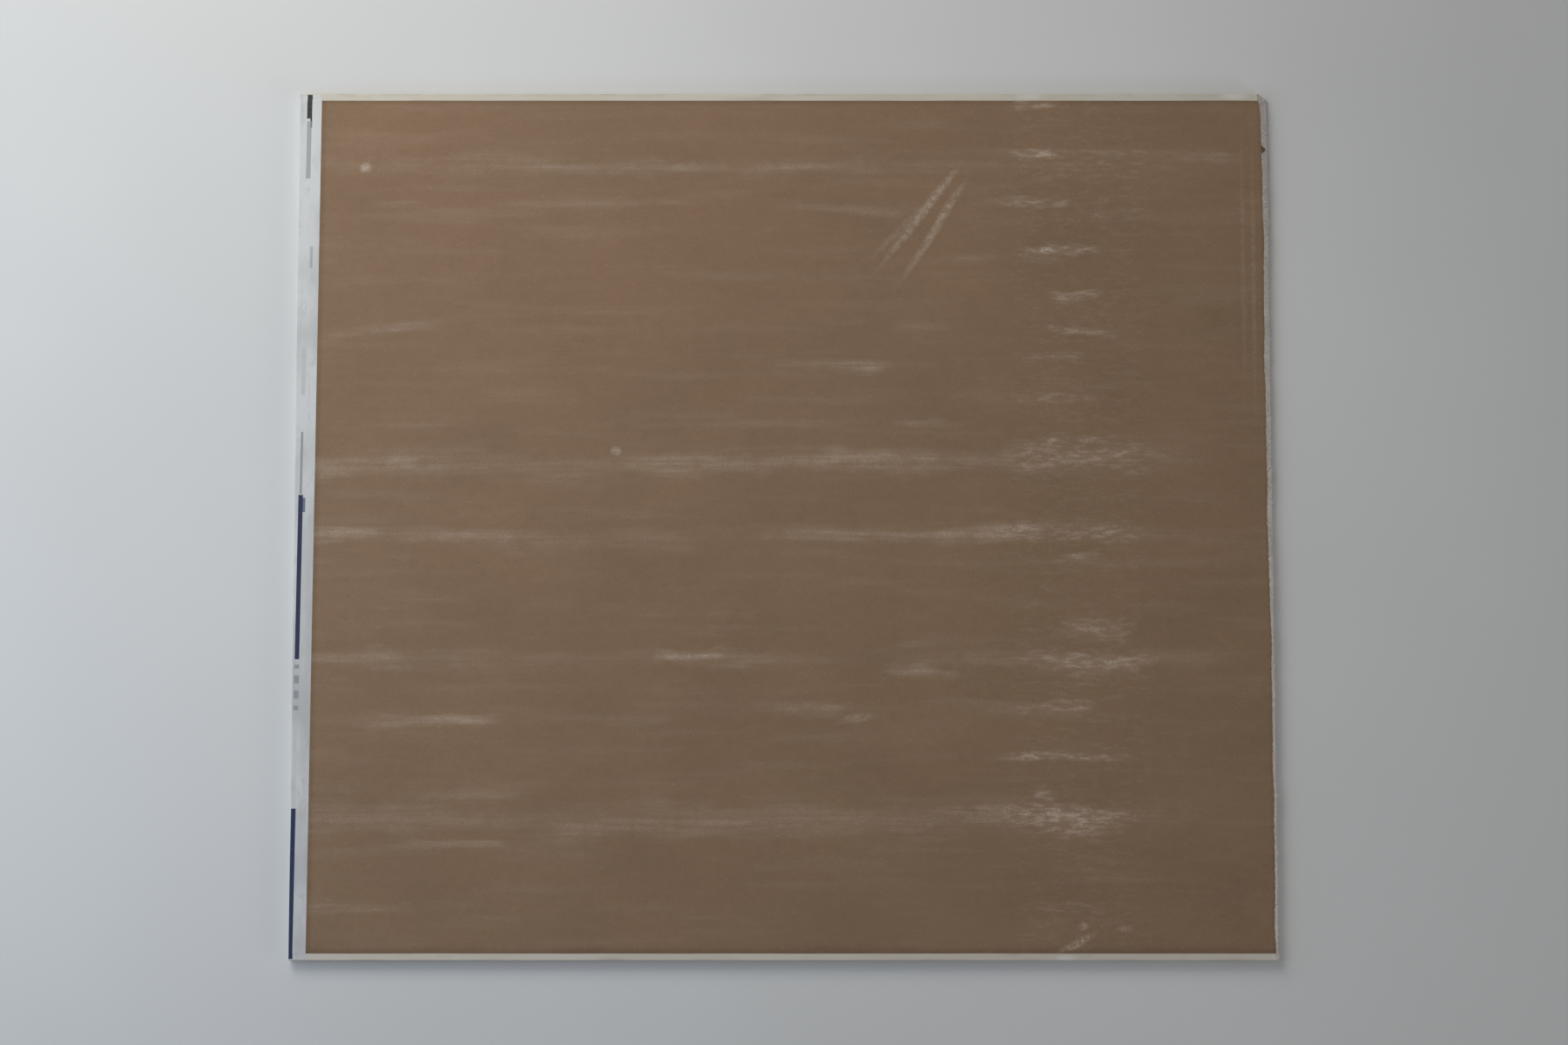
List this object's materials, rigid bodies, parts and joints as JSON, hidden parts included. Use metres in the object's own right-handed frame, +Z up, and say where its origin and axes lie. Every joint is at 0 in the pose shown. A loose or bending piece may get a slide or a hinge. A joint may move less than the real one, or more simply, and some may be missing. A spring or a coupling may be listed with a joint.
{
  "type": "drywall sheet",
  "caption": "Flat sheet of gypsum board with a tapered ivory paper face, a brown paper back, a taped factory end and a snapped end, lying face down.",
  "frame": {"origin": "on the floor under the middle of the sheet, which lies on its face paper", "axes": "+X along the cut length from the taped factory end to the snapped end, +Y across the factory width from one tapered edge to the other, +Z up, out of the brown back"},
  "size_m": [1.3718, 1.2192, 0.016],
  "materials": {
    "gypsum": "matt, porous, broken",
    "ivory_paper": "smooth matt paper",
    "brown_paper": "fibrous matt paper with gypsum dust",
    "white_tape": "smooth paper tape with plain dark bars"
  },
  "bodies": {
    "root": {"gypsum_core": "gypsum", "face_paper": "ivory_paper", "back_paper": "brown_paper", "end_tape": "white_tape"}
  },
  "joints": []
}
